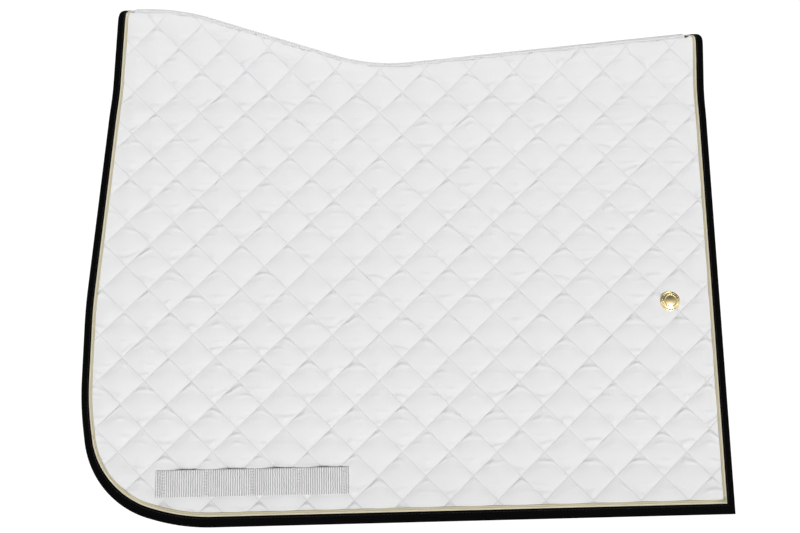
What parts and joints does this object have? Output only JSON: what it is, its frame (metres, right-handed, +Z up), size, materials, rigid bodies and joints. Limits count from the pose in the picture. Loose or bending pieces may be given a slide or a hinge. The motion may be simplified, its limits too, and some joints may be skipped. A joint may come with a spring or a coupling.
{
  "type": "saddle pad",
  "caption": "Quilted dressage saddle pad: two padded flaps joined at a contoured spine, with bound and piped edges and girth keeper straps.",
  "frame": {"origin": "underside of the inner seam tape at the lowest point of the spine, midway between the flaps", "axes": "+X to the rear, -Y to the near (left) side, +Z up"},
  "size_m": [0.618, 0.2162, 0.5064],
  "materials": {
    "quilted_twill": "fine twill, quilted in diamonds",
    "wadding": "lofted fibre",
    "lining_cloth": "plain weave, quilted through",
    "black_binding": "folded tape, fine lengthwise ribs",
    "cream_cord": "twisted satin cord",
    "beige_cord": "twisted satin cord",
    "ribbed_tape": "ribbed woven tape",
    "seam_tape": "woven tape",
    "white_webbing": "cross-ribbed webbing",
    "white_thread": "twisted sewing thread",
    "gold_metal": "polished, gold plated",
    "plain_metal": "satin"
  },
  "bodies": {
    "crown": {"left_crown_cover": "quilted_twill", "left_crown_wadding": "wadding", "left_crown_lining": "lining_cloth", "right_crown_cover": "quilted_twill", "right_crown_wadding": "wadding", "right_crown_lining": "lining_cloth", "spine_tape": "ribbed_tape", "inner_seam_tape": "seam_tape", "front_crown_binding": "black_binding", "rear_crown_binding": "black_binding", "front_crown_cream_piping": "cream_cord", "rear_crown_cream_piping": "cream_cord", "front_crown_beige_piping": "beige_cord", "rear_crown_beige_piping": "beige_cord"},
    "left_flap": {"left_cover": "quilted_twill", "left_wadding": "wadding", "left_lining": "lining_cloth", "left_binding": "black_binding", "left_cream_piping": "cream_cord", "left_beige_piping": "beige_cord", "left_girth_strap": "white_webbing", "left_strap_tacks": "white_thread", "badge_cap": "gold_metal", "badge_rim": "gold_metal", "badge_post": "plain_metal", "badge_washer": "plain_metal"},
    "right_flap": {"right_cover": "quilted_twill", "right_wadding": "wadding", "right_lining": "lining_cloth", "right_binding": "black_binding", "right_cream_piping": "cream_cord", "right_beige_piping": "beige_cord", "right_girth_strap": "white_webbing", "right_strap_tacks": "white_thread"}
  },
  "joints": [
    {"name": "left_fold", "type": "hinge", "parent": "crown", "child": "left_flap", "pos_m": [0, -0.0104, -0.0143], "axis": [-1, 0, 0], "range_deg": [-12, 78], "stiffness_Nm_per_rad": 0.6, "springref_deg": 14.35},
    {"name": "right_fold", "type": "hinge", "parent": "crown", "child": "right_flap", "pos_m": [0, 0.0104, -0.0143], "axis": [1, 0, 0], "range_deg": [-12, 78], "stiffness_Nm_per_rad": 0.6, "springref_deg": 14.35}
  ]
}
